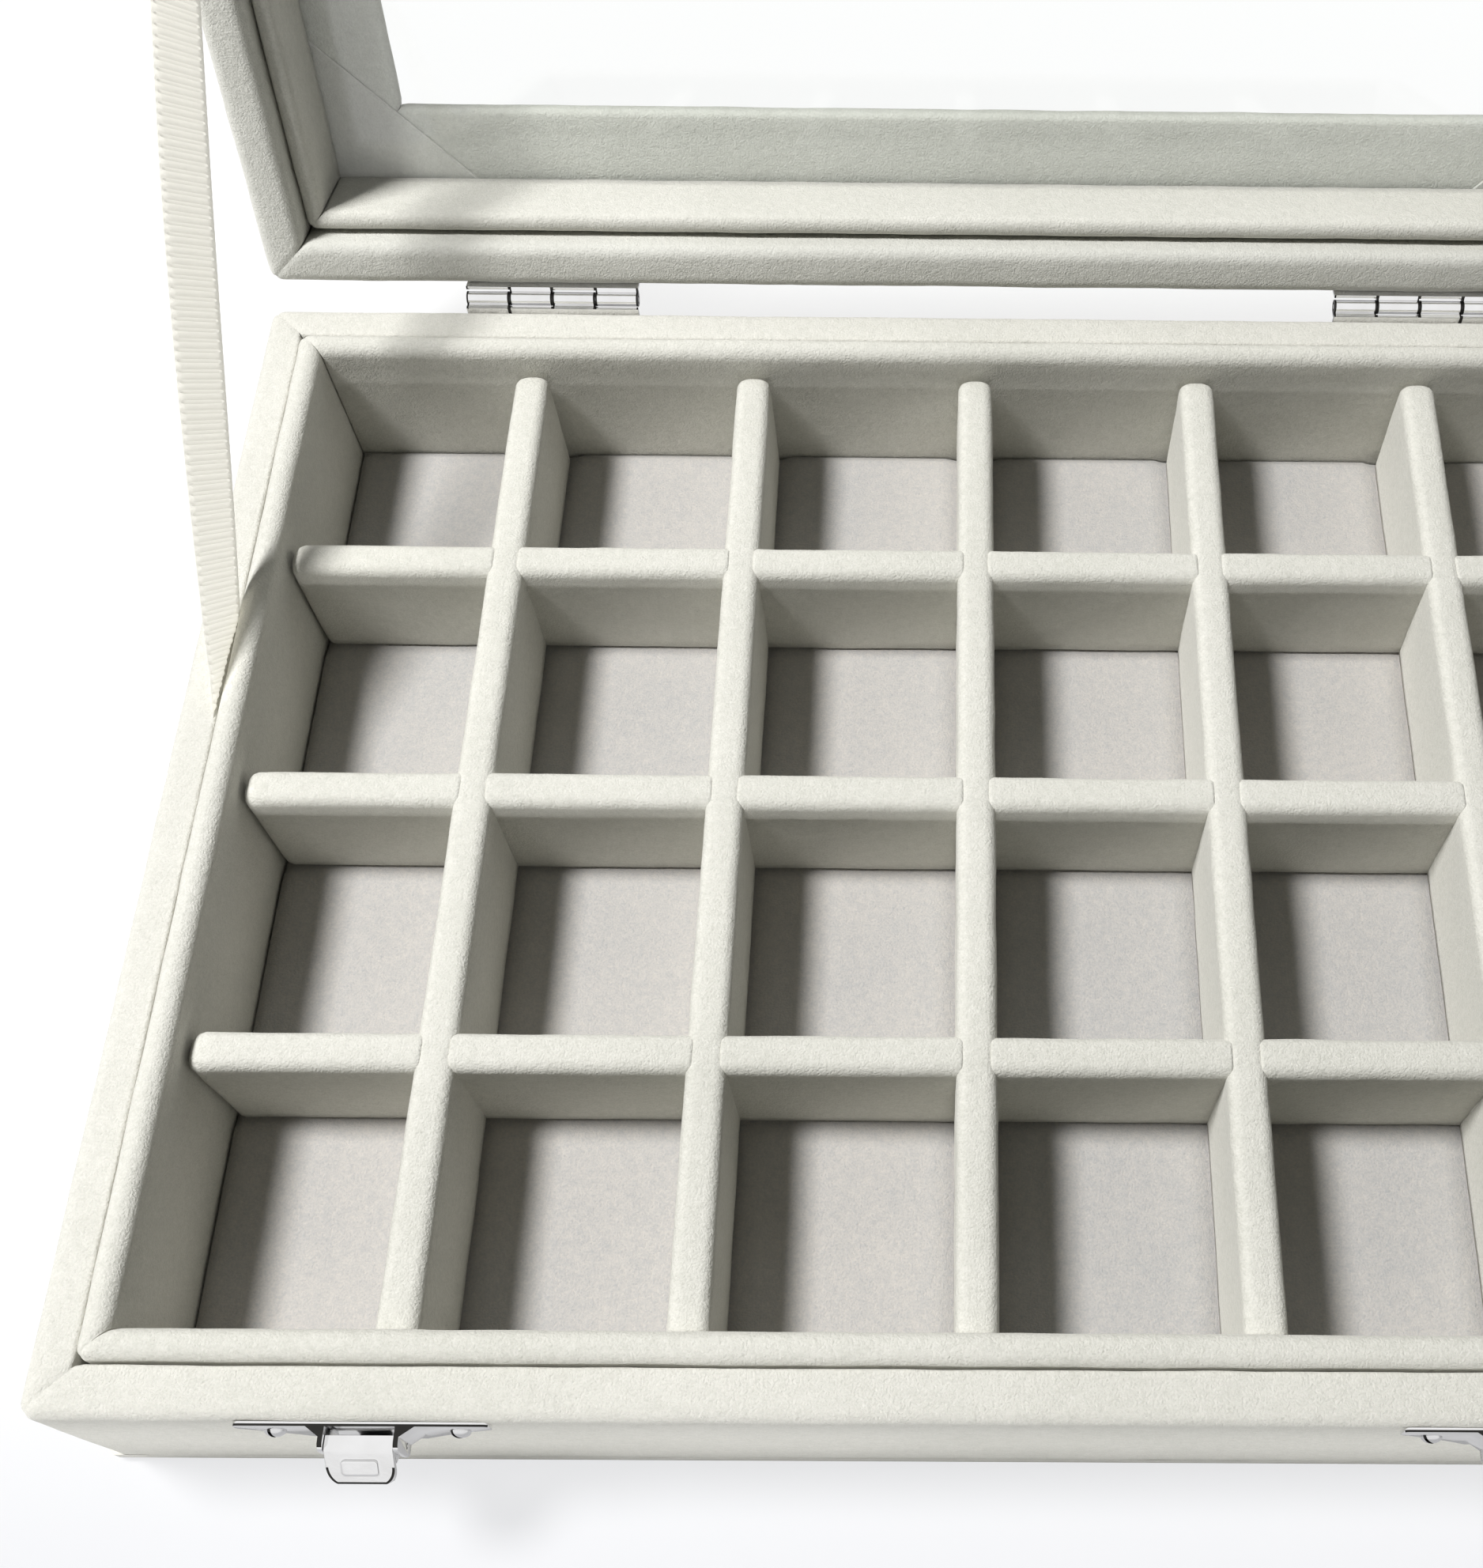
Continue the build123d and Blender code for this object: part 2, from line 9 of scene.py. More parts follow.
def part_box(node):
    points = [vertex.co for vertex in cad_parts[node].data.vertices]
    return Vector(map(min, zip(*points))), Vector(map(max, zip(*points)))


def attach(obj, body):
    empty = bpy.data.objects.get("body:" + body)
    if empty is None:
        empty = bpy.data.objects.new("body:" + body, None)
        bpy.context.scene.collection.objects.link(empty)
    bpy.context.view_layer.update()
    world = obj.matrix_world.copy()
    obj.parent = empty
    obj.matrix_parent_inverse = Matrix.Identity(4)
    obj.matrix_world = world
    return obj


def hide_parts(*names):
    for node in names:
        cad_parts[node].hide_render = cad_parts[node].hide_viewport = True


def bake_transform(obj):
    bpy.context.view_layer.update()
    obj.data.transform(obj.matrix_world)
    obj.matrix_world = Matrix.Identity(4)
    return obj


# A velvet-covered jewelry organizer, standing open: a base tray with a grid of cells, and a
# lid with a glass window, on two hinges, held by a ribbon. Metres, +Z up, latches towards -Y.
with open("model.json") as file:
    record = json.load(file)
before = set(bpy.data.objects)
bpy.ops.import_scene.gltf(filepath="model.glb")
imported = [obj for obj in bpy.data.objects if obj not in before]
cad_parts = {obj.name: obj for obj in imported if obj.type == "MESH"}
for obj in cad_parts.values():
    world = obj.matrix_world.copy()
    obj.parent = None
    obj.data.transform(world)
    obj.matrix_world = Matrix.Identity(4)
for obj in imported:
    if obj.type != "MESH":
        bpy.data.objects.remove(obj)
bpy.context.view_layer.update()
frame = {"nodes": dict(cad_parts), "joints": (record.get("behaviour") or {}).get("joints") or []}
nodes = frame["nodes"]
scene = bpy.context.scene


# Camera
# The photograph was taken by hand from above the front edge and cropped on the right, so the
# picture's middle is left of the lens axis.
MM = 0.001
photo_width, photo_height = 1876, 1983
camera_at = Vector((-7.81, -185.83, 396.8)) * MM
camera_down, camera_aside, camera_roll = 61.97, 0.91, -1.27
focal_pixels, axis_pixel_x = 2327.4, 1206.9
sensor_width = 36.0

lens = bpy.data.cameras.new("camera")
lens.sensor_width = sensor_width
lens.lens = focal_pixels * sensor_width / photo_height
lens.shift_x = (photo_width / 2 - axis_pixel_x) / photo_height
camera = bpy.data.objects.new("camera", lens)
scene.collection.objects.link(camera)
down, aside, roll = (math.radians(a) for a in (camera_down, camera_aside, camera_roll))
forward = Vector((math.sin(aside) * math.cos(down), math.cos(aside) * math.cos(down), -math.sin(down)))
level = Vector((math.cos(aside), -math.sin(aside), 0))
below = forward.cross(level)
right = math.cos(roll) * level + math.sin(roll) * below
under = forward.cross(right)
camera.matrix_world = Matrix.Translation(camera_at) @ Matrix((right, -under, -forward)).transposed().to_4x4()
scene.camera = camera


# Table and light
# A white table in a bright room: soft daylight from high on the left, a weak light from
# behind, hardly any fill, and light that the table sends up at the front face.
class Wire:
    """A value in a finish. Sums and products of wires add the nodes that work them out."""

    def __init__(self, tree, socket):
        self.tree, self.socket = tree, socket

    def math(self, operation, first, second):
        made = self.tree.nodes.new("ShaderNodeMath")
        made.operation = operation
        for slot, value in zip(made.inputs, (first, second)):
            plug(self.tree, slot, value)
        return Wire(self.tree, made.outputs[0])

    def __add__(self, other):
        return self.math("ADD", self, other)

    def __radd__(self, other):
        return self.math("ADD", other, self)

    def __sub__(self, other):
        return self.math("SUBTRACT", self, other)

    def __rsub__(self, other):
        return self.math("SUBTRACT", other, self)

    def __mul__(self, other):
        return self.math("MULTIPLY", self, other)

    def __rmul__(self, other):
        return self.math("MULTIPLY", other, self)


def plug(tree, slot, value):
    """Feeds a node's socket with a wire, or sets the plain value on it."""
    if isinstance(value, Wire):
        tree.links.new(value.socket, slot)
    else:
        slot.default_value = value


class Finish:
    """A finish under construction: a material or the room's light, and its nodes."""

    def __init__(self, owner):
        self.owner = owner
        owner.use_nodes = True
        self.tree = owner.node_tree
        self.tree.nodes.clear()

    def add(self, kind, inputs=None, settings=None, output=0):
        """One node of a kind: its settings come first, then the values or wires of its sockets."""
        made = self.tree.nodes.new(kind)
        for key, value in (settings or {}).items():
            setattr(made, key, value)
        for key, value in (inputs or {}).items():
            plug(self.tree, made.inputs[key], value)
        return Wire(self.tree, made.outputs[output])

    def spot(self):
        """The place on the piece, in metres, that patterns follow."""
        return self.add("ShaderNodeTexCoord", output="Object")

    def ray(self, name):
        """1 for one kind of ray and 0 for the others."""
        return self.add("ShaderNodeLightPath", output=name)

    def seen(self):
        """1 where the camera looks, straight, by way of metal or through the glass."""
        return self.ray("Is Camera Ray") + self.ray("Is Glossy Ray") + self.ray("Is Transmission Ray")

    def mottle(self, spot, scale, detail, roughness=0.5):
        """An uneven value from 0 to 1, with so many patches to the metre."""
        return self.add("ShaderNodeTexNoise",
                        {"Vector": spot, "Scale": scale, "Detail": detail, "Roughness": roughness})

    def rise(self, value, low, high):
        """A share that goes from 0 to 1 while a value goes from low to high."""
        inputs = {"Value": value, "From Min": low, "From Max": high}
        return self.add("ShaderNodeMapRange", inputs, {"clamp": True})

    def mix(self, share, first, second):
        """Two colours, mixed by a share from 0 to 1."""
        inputs = {"Factor": share, 6: first, 7: second}
        return self.add("ShaderNodeMix", inputs, {"data_type": "RGBA"}, output=2)

    def close(self, shader, kind="ShaderNodeOutputMaterial"):
        """Shows the shader on the finish's owner, and hands the owner back."""
        made = self.tree.nodes.new(kind)
        plug(self.tree, made.inputs["Surface"], shader)
        return self.owner


table_size, table_gap = 6.0, 0.0002
table_white, table_shade_front = (1.0, 1.0, 1.0, 1), (0.77, 0.78, 0.82, 1)
shade_from, shade_full, shade_ebbs, shade_gone = -0.45, -0.24, -0.22, -0.08      # places along Y
# painted shade in what metal mirrors of the table, strongest near the box
table_painted_mirror_shade, mirror_shade_near, mirror_shade_far = (0.55, 0.55, 0.56, 1), 0.2, 1.0
table_glow, glow_near, glow_far = 0.82, 0.5, 1.4        # how much of its own white shows, near and far
box_middle, front_face = Vector((0, 0, 0.03)), Vector((0, -0.1315, 0.028))
key_at, key_size, key_power = Vector((-0.66, 0.04, 1.28)), 0.30, 24.8
back_at, back_size, back_power = Vector((0.3, 1.0, 0.9)), 0.8, 1.0
low_at, low_size, low_power, low_spread = Vector((0, -0.75, 0.118)), (1.2, 0.02), 0.10, 8
fill_colour, fill_strength = (0.95, 1.0, 0.90, 1), 0.03


def table_finish():
    """White, with the soft shade that lies before the box, and no line at the horizon."""
    f = Finish(bpy.data.materials.new("white_table"))
    spot = f.spot()
    along = f.add("ShaderNodeSeparateXYZ", {0: spot}, output="Y")
    away = f.add("ShaderNodeVectorMath", {0: spot}, {"operation": "LENGTH"}, output="Value")
    shaded = f.rise(along, shade_from, shade_full) * (1.0 - f.rise(along, shade_ebbs, shade_gone))
    colour = f.mix(shaded, table_white, table_shade_front)
    lit = f.add("ShaderNodeBsdfDiffuse", {"Color": colour})
    # Painted reflection shade: metal sees the table greyer near the box than far off.
    painted_mirror_tone = f.mix(f.rise(away, mirror_shade_near, mirror_shade_far), table_painted_mirror_shade, table_white)
    reflected = f.ray("Is Glossy Ray") * (1.0 - f.ray("Is Transmission Ray"))
    glow = f.add("ShaderNodeEmission", {"Color": f.mix(reflected, colour, painted_mirror_tone), "Strength": 1.0})
    share = f.seen() * (table_glow + (1.0 - table_glow) * f.rise(away, glow_near, glow_far))
    return f.close(f.add("ShaderNodeMixShader", {0: share, 1: lit, 2: glow}))


def room_light():
    """White where it is seen, and a weak fill on everything else."""
    scene.world = bpy.data.worlds.new("room")
    f = Finish(scene.world)
    shown = f.add("ShaderNodeBackground", {"Color": table_white, "Strength": 1.0})
    fill = f.add("ShaderNodeBackground", {"Color": fill_colour, "Strength": fill_strength})
    f.close(f.add("ShaderNodeMixShader", {0: f.seen(), 1: fill, 2: shown}), "ShaderNodeOutputWorld")


def soft_lamp(name, at, size, power, aim=box_middle, spread=180):
    """A round lamp of one size, or an oblong one of two. Glass neither doubles nor mirrors it."""
    lamp = bpy.data.lights.new(name, "AREA")
    lamp.energy, lamp.spread = power, math.radians(spread)
    if isinstance(size, tuple):
        lamp.shape, lamp.size, lamp.size_y = "RECTANGLE", *size
    else:
        lamp.shape, lamp.size = "DISK", size
    made = bpy.data.objects.new(name, lamp)
    made.matrix_world = Matrix.Translation(at) @ (aim - at).to_track_quat("-Z", "Y").to_matrix().to_4x4()
    made.visible_glossy = made.visible_camera = made.visible_transmission = False
    scene.collection.objects.link(made)


def object_of(name, bm, *finishes):
    """Makes a finished mesh an object of the scene, with its finishes in order."""
    mesh = bpy.data.meshes.new(name)
    bm.to_mesh(mesh)
    bm.free()
    for finish in finishes:
        mesh.materials.append(finish)
    made = bpy.data.objects.new(name, mesh)
    scene.collection.objects.link(made)
    return made


def table_sheet():
    """A flat sheet just under the box's foot, far wider than the picture."""
    bm = bmesh.new()
    half = table_size / 2
    corners = ((-half, -half), (half, -half), (half, half), (-half, half))
    bm.faces.new([bm.verts.new((x, y, -table_gap)) for x, y in corners])
    return object_of("table", bm, table_finish())


table_sheet()
room_light()
soft_lamp("window_light", key_at, key_size, key_power)
soft_lamp("back_light", back_at, back_size, back_power)
soft_lamp("table_bounce", low_at, low_size, low_power, front_face, low_spread)


# Bottom board
# Thick grey board under the whole base, covered with flocked paper and glued to the walls.
# Its chamfered edge shows as a thin line round the foot of the box.
def velvet(name, colour, nap, pile=1.0):
    """Short-pile velvet: a fine bright pile, brushed patches of darker nap, and a soft sheen."""
    f = Finish(bpy.data.materials.new(name))
    spot = f.spot()
    tufts = f.mottle(spot, 2100.0, 2.0, 0.6)
    grain = f.mottle(spot, 620.0, 3.0, 0.65)
    brushed = f.mottle(spot, 26.0, 3.0, 0.55)
    wide = f.mottle(spot, 7.0, 2.0)
    share = (tufts - 0.5) * 1.5 + (grain - 0.5) * 1.1 + (brushed - 0.5) * 0.6 + (wide - 0.5) * 0.45 + 0.42
    tone = f.mix(f.add("ShaderNodeClamp", {"Value": share}), (*colour, 1), (*nap, 1))
    height = tufts * 0.55 + grain * 0.45
    bump = f.add("ShaderNodeBump", {"Strength": 0.75 * pile, "Distance": 0.0006, "Height": height})
    return f.close(f.add("ShaderNodeBsdfPrincipled", {
        "Base Color": tone, "Roughness": 0.94, "Specular IOR Level": 0.12, "Normal": bump,
        "Sheen Weight": 0.28, "Sheen Roughness": 0.45, "Sheen Tint": (1.0, 0.99, 0.95, 1)}))


def dress(node, material):
    """Gives a CAD node, kept as it is, its finish."""
    mesh = nodes[node].data
    mesh.materials.clear()
    mesh.materials.append(material)


foot_paper = velvet("foot_paper", (0.76, 0.745, 0.70), (0.67, 0.655, 0.60), pile=0.4)
dress("base_bottom", foot_paper)


# Outer walls of the base
# Four boards wrapped in cream velvet, mitred at the corners and glued. The wrap is soft at the
# rim, dips a little at each mitre, and nothing about it is quite straight.
case_velvet = velvet("case_velvet", (0.74, 0.726, 0.672), (0.592, 0.586, 0.53))
soft_step, round_turns = 0.0032, 5
waviness, wave_long, wave_short = 0.00016, 0.014, 0.005
crease_depth, crease_width = 0.00024, 0.0009
near_mitre = (0.0, 0.0004, 0.0009, 0.0016, 0.0026, 0.0042)
merge_gap = 1e-6


def section(corners, step=soft_step):
    """A closed outline from its corners, each (inset, height, round): arcs at the rounds."""
    runs = []
    count = len(corners)
    for i in range(count):
        before, here, after = (Vector(corners[(i + k) % count][:2]) for k in (-1, 0, 1))
        round_off = corners[i][2]
        if round_off == 0:
            runs.append([here])
            continue
        to_before, to_after = (before - here).normalized(), (after - here).normalized()
        half = to_before.angle(to_after) / 2
        reach = round_off / math.tan(half)
        centre = here + (to_before + to_after).normalized() * round_off / math.sin(half)
        start, end = here + to_before * reach - centre, here + to_after * reach - centre
        sweep = math.pi - 2 * half
        runs.append([])
        for k in range(round_turns + 1):
            to_start, to_end = math.sin((1 - k / round_turns) * sweep), math.sin(k / round_turns * sweep)
            runs[-1].append(centre + (start * to_start + end * to_end) / math.sin(sweep))
    outline = []
    for i, run in enumerate(runs):
        outline += run
        gap = runs[(i + 1) % count][0] - run[-1]
        pieces = max(1, math.ceil(gap.length / step))
        outline += [run[-1] + gap * k / pieces for k in range(1, pieces)]
    return outline


def stations(half_length):
    """Places along a board from end to end, as shares -1 to 1, closer together at the ends."""
    inner = half_length - near_mitre[-1]
    count = max(2, math.ceil(2 * inner / soft_step))
    middle = [-inner + 2 * inner * k / count for k in range(1, count)]
    left = [-half_length + d for d in near_mitre]
    return [p / half_length for p in left + middle + [-p for p in reversed(left)]]


def ripple(point, scale, seed):
    """A smooth random value at a point, the same on each run."""
    return noise.noise(Vector(point) / scale + Vector((seed, 2 * seed, 3 * seed)))


def stand_in(made, node, body):
    """Lets a piece ride on its body in the place of a CAD node."""
    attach(made, body)
    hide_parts(node)


def tube(bm, rings):
    """Skins rings of as many points each into a closed form, with a face at each end."""
    loops = [[bm.verts.new(p) for p in ring] for ring in rings]
    for here, there in zip(loops, loops[1:]):
        for i in range(len(here)):
            j = (i + 1) % len(here)
            bm.faces.new((here[i], here[j], there[j], there[i]))
    caps = [bm.faces.new(loops[0][::-1]), bm.faces.new(loops[-1])]
    return loops, caps


def skinned(name, node, rings, material, body, slot, give=None, place=None):
    """A closed board from rings of points along it, made uneven as cloth over board is."""
    bm = bmesh.new()
    loops, caps = tube(bm, rings)
    bmesh.ops.recalc_face_normals(bm, faces=bm.faces)
    bm.normal_update()
    seed = sum(map(ord, body + slot)) * 0.137
    moves = []
    for k, loop in enumerate(loops):
        for i, v in enumerate(loop):
            uneven = waviness * (ripple(v.co, wave_long, seed) + 0.5 * ripple(v.co, wave_short, seed + 9))
            outward = loops[min(max(k, 1), len(loops) - 2)][i].normal
            moves.append((v, outward * (uneven + (give(k, i) if give else 0))))
    for v, move in moves:
        v.co += move
    bmesh.ops.remove_doubles(bm, verts=bm.verts, dist=merge_gap)
    for cap in caps:
        if cap.is_valid:
            for edge in cap.edges:
                edge.smooth = False
    for face in bm.faces:
        face.smooth = True
    if place is not None:
        bm.transform(place)
    stand_in(object_of(name, bm, material), node, body)


def framed_board(name, node, side, half_sizes, outline, corner, material, body, slot, place=None):
    """One mitred board of a frame of four. Its section runs inwards from the frame's outer face."""
    half_x, half_y = half_sizes
    wide = side in ("front", "back")
    along, across = (half_x, half_y) if wide else (half_y, half_x)
    sign = -1 if side in ("front", "left") else 1
    shares = stations(along)

    def softened(x, y):
        """Draws the frame's corner in to a round one, seen from above."""
        over_x, over_y = abs(x) - (half_x - corner), abs(y) - (half_y - corner)
        if min(over_x, over_y) <= 0:
            return x, y
        shrink = max(over_x, over_y) / math.hypot(over_x, over_y)
        return (math.copysign(half_x - corner + over_x * shrink, x),
                math.copysign(half_y - corner + over_y * shrink, y))

    rings = []
    for share in shares:
        ring = []
        for inset, height in outline:
            run, out = share * (along - inset), sign * (across - inset)
            ring.append((*softened(*((run, out) if wide else (out, run))), height))
        rings.append(ring)

    def crease(k, i):
        """The wrap's dip at the mitre, where two boards meet."""
        away = (1 - abs(shares[k])) * (along - outline[i][0])
        return -crease_depth * math.exp(-(away / crease_width) ** 2)

    skinned(name, node, rings, material, body, slot, crease, place)


sides = ("front", "back", "left", "right")
wall_low, wall_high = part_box("base_wall_front")
wall_inner = -wall_high.y
case_x, case_y = wall_high.x, -wall_low.y
wall = case_y - wall_inner
rim_z, foot_z = wall_high.z, wall_low.z
rim_round, rim_inner_round, case_corner = 0.0030, 0.0009, 0.0035
nap_depth = {"front": 0.0009, "back": 0.0006, "left": 0.0003, "right": 0.0006}
for side in sides:
    inner = wall + nap_depth[side]
    wall_section = section([(0, foot_z, 0), (0, rim_z, rim_round), (inner, rim_z, rim_inner_round),
                            (inner, foot_z, 0)])
    framed_board(f"wall_{side}", f"base_wall_{side}", side, (case_x, case_y), wall_section, case_corner,
                 case_velvet, "base", "velvet_case")


# Liner of the base
# Padded boards in a lighter velvet stand inside the walls and rise above the rim, with a
# narrow groove between that the ribbon goes into.
liner_velvet = velvet("liner_velvet", (0.74, 0.728, 0.672), (0.582, 0.578, 0.52))
liner_low, liner_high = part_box("base_liner_front")
liner_x, liner_y = liner_high.x, -liner_low.y
liner = liner_y + liner_high.y
liner_round, liner_corner, liner_set_in = 0.0029, 0.0029, 0.0003
liner_section = section([(liner_set_in, foot_z, 0), (liner_set_in, liner_high.z, liner_round),
                         (liner, liner_high.z, liner_round), (liner, foot_z, 0)])
for side in sides:
    framed_board(f"liner_{side}", f"base_liner_{side}", side, (liner_x, liner_y), liner_section, liner_corner,
                 liner_velvet, "base", "velvet_liner")


# Floor of the cells
# One padded velvet board lies between the liners. The dividers press into it, so it swells
# softly in each cell and turns down into a dark crack at the walls.
floor_velvet = velvet("floor_velvet", (0.565, 0.536, 0.503), (0.415, 0.415, 0.417), pile=0.8)
pad_low, pad_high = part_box("floor_pad")
long_boxes = [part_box(f"long_divider_{i + 1}") for i in range(5)]
cross_boxes = [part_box(f"cross_divider_{i + 1}") for i in range(3)]
pad_step, pressed_depth, pressed_width, pad_edge_round = 0.0021, 0.0011, 0.0015, 0.0012
pad_waviness, pad_wave = 0.7 * waviness, 0.02


def press(x, y):
    """How far the pad's top is pushed down at a point by the nearest divider or at its edge."""
    to_edge = min(x - pad_low.x, pad_high.x - x, y - pad_low.y, pad_high.y - y)
    down = pad_edge_round * math.exp(-(max(to_edge, 0) / pad_edge_round) ** 2)
    gaps = [max(lo.x - x, x - hi.x, 0) for lo, hi in long_boxes]
    gaps += [max(lo.y - y, y - hi.y, 0) for lo, hi in cross_boxes]
    return down + pressed_depth * math.exp(-(min(gaps) / pressed_width) ** 2)


def floor_board():
    """A closed board whose top is a fine grid, pressed down along the dividers."""
    size = pad_high - pad_low
    across, deep = math.ceil(size.x / pad_step), math.ceil(size.y / pad_step)
    bm = bmesh.new()
    top = []
    for j in range(deep + 1):
        row = []
        for i in range(across + 1):
            x, y = pad_low.x + size.x * i / across, pad_low.y + size.y * j / deep
            z = pad_high.z - press(x, y) + pad_waviness * ripple((x, y, 0), pad_wave, 4.1)
            row.append(bm.verts.new((x, y, z)))
        top.append(row)
    for lower, upper in zip(top, top[1:]):
        for i in range(across):
            bm.faces.new((lower[i], lower[i + 1], upper[i + 1], upper[i])).smooth = True
    rim = top[0] + [row[-1] for row in top[1:]] + top[-1][-2::-1] + [row[0] for row in top[-2:0:-1]]
    foot = [bm.verts.new((v.co.x, v.co.y, pad_low.z)) for v in rim]
    for i, v in enumerate(rim):
        j = (i + 1) % len(rim)
        bm.faces.new((foot[i], foot[j], rim[j], v))
    bm.faces.new(foot[::-1])
    return object_of("floor_board", bm, floor_velvet)


pad = floor_board()
stand_in(pad, "floor_pad", "base")


# Dividers
# Padded velvet strips with rounded tops, half-lapped where they cross: those from front to
# back run on over the crossings, and the ones from side to side butt softly against them.
divider_low, divider_high = long_boxes[0]
thick = divider_high.x - divider_low.x
divider_round, end_round, front_round, butt_round, butt_in = 0.0025, 0.0030, 0.0006, 0.0006, 0.0016
divider_step, divider_tips, lap_steps = 0.0028, (0.0, 0.0003, 0.0008, 0.0016, 0.0028), 4
drawn_down = 6                  # a rounded end draws in the top sixth of its height as well
lap_z = (divider_low.z + divider_high.z) / 2
divider_section = section([(-thick / 2, divider_low.z, 0), (-thick / 2, divider_high.z, divider_round),
                           (thick / 2, divider_high.z, divider_round), (thick / 2, divider_low.z, 0)],
                          divider_step)


def fading(distance, reach):
    """How far a rounded end has drawn in, at a distance from its tip."""
    if distance >= reach:
        return 0.0
    return reach - math.sqrt(max(0.0, reach ** 2 - (reach - distance) ** 2))


def divider_places(edges):
    """Places along a divider, each with whether it lies in a lap: full stretches and laps alternate."""
    *tips, last_tip = divider_tips
    places = []
    for k in range(0, len(edges), 2):
        first, last = edges[k], edges[k + 1]
        count = math.ceil((last - first) / soft_step)
        plain = last - first - 2 * last_tip
        middle = [first + last_tip + plain * n / count for n in range(count + 1)]
        run = [first + t for t in tips] + middle + [last - t for t in reversed(tips)]
        places += [(p, False) for p in run]
        if k + 2 < len(edges):
            lap = edges[k + 2] - last
            places += [(last + lap * n / lap_steps, True) for n in range(lap_steps + 1)]
    return places


def divider_piece(name, node, along_x, low, high, crossings, carries):
    """A divider between its two ends, lapped at its crossings: one that carries runs on on top."""
    if along_x:
        start, end, middle = low.x, high.x, (low.y + high.y) / 2
    else:
        start, end, middle = low.y, high.y, (low.x + high.x) / 2
    half_slot = thick / 2 + (0 if carries else -butt_in)
    edges = [start] + [c + s * half_slot for c in crossings for s in (-1, 1)] + [end]
    first_round = end_round if along_x else front_round
    rings = []
    for place, lapped in divider_places(edges):
        reach_in = max(fading(place - start, first_round), fading(end - place, end_round))
        if not carries and not lapped:
            butt = min(abs(place - e) for e in edges[1:-1])
            reach_in = max(reach_in, fading(butt, butt_round))
        ring = []
        for off, height in divider_section:
            share = (height - divider_low.z) / (divider_high.z - divider_low.z)
            off = math.copysign(max(abs(off) - reach_in, 0), off)
            height = height - reach_in * max(0.0, share * drawn_down - (drawn_down - 1))
            if lapped:
                height = max(height, lap_z) if carries else min(height, lap_z)
            ring.append((place, middle + off, height) if along_x else (middle + off, place, height))
        rings.append(ring)
    skinned(name, node, rings, liner_velvet, "base", "velvet_liner")


long_x = [(lo.x + hi.x) / 2 for lo, hi in long_boxes]
cross_y = sorted((lo.y + hi.y) / 2 for lo, hi in cross_boxes)
for i, (low, high) in enumerate(long_boxes):
    divider_piece(f"divider_deep_{i + 1}", f"long_divider_{i + 1}", False, low, high, cross_y, True)
for i, (low, high) in enumerate(cross_boxes):
    divider_piece(f"divider_wide_{i + 1}", f"cross_divider_{i + 1}", True, low, high, long_x, False)


# Rails of the lid
# Each side of the lid is one board of L section, wall and window border in one velvet wrap,
# mitred at the corners. The border's lip rolls softly round the window.
lid_joint = next(j for j in frame["joints"] if j["name"] == "lid_hinge")
hinge_at = Vector(lid_joint["pos_m"])
lid_turn = Matrix.Rotation(-math.radians(lid_joint["range_deg"][1]), 4, "X")
lid_open = Matrix.Translation(hinge_at) @ lid_turn @ Matrix.Translation(-hinge_at)
lid_close = lid_open.inverted()


def corners_of(points):
    """The lowest and the highest corner of some points."""
    return [Vector(pick(p[k] for p in points) for k in range(3)) for pick in (min, max)]


def closed_box(node):
    """A lid node's lowest and highest corners, as they are with the lid shut."""
    return corners_of([lid_close @ v.co for v in nodes[node].data.vertices])


rail_low, rail_high = closed_box("lid_rail_front")
border = case_y + rail_high.y
lid_liner_low, lid_liner_high = closed_box("lid_liner_front")
lid_liner_x, lid_liner_y = lid_liner_high.x, -lid_liner_low.y
lid_liner = lid_liner_y + lid_liner_high.y
lid_wall = case_y - lid_liner_y - (wall_inner - liner_y)
border_z = closed_box("lid_corner_front_left")[1].z
lip_round, lid_inner_round = 0.0017, 0.0027
rail_section = section([(0, rail_high.z, rim_round), (0, rail_low.z, rim_round),
                        (lid_wall, rail_low.z, lid_inner_round), (lid_wall, border_z, 0),
                        (border, border_z, lip_round), (border, rail_high.z, lip_round)])
# The case velvet made darker for the lid's rails: painted shade.
lid_painted_shade_velvet = velvet("lid_painted_shade_velvet", (0.70, 0.695, 0.645), (0.565, 0.562, 0.515))
for side in sides:
    framed_board(f"rail_{side}", f"lid_rail_{side}", side, (case_x, case_y), rail_section, case_corner,
                 lid_painted_shade_velvet, "lid", "velvet_case", lid_open)


# Liner of the lid
# Padded boards hold the glass in the lid from inside. Their rims lie deeper than the lid's,
# with the same dark groove beside them.
lid_liner_round = 0.0021
lid_liner_section = section([(0, lid_liner_high.z, 0), (0, lid_liner_low.z, lid_liner_round),
                             (lid_liner, lid_liner_low.z, lid_liner_round), (lid_liner, lid_liner_high.z, 0)])
for side in sides:
    framed_board(f"lid_liner_board_{side}", f"lid_liner_{side}", side, (lid_liner_x, lid_liner_y),
                 lid_liner_section, lid_liner_round, liner_velvet, "lid", "velvet_liner", lid_open)


# Corner patches
# A folded triangle of velvet covers each mitre of the border, under the glass. Its long edge
# is a fold, a little thicker and rounder than the cut legs.
# Velvet made darker for the patches: painted shade.
patch_painted_shade_velvet = velvet("patch_painted_shade_velvet", (0.69, 0.68, 0.64), (0.58, 0.57, 0.53), pile=0.7)
fold_round, corner_lift, patch_steps = 0.00042, 0.25, 24


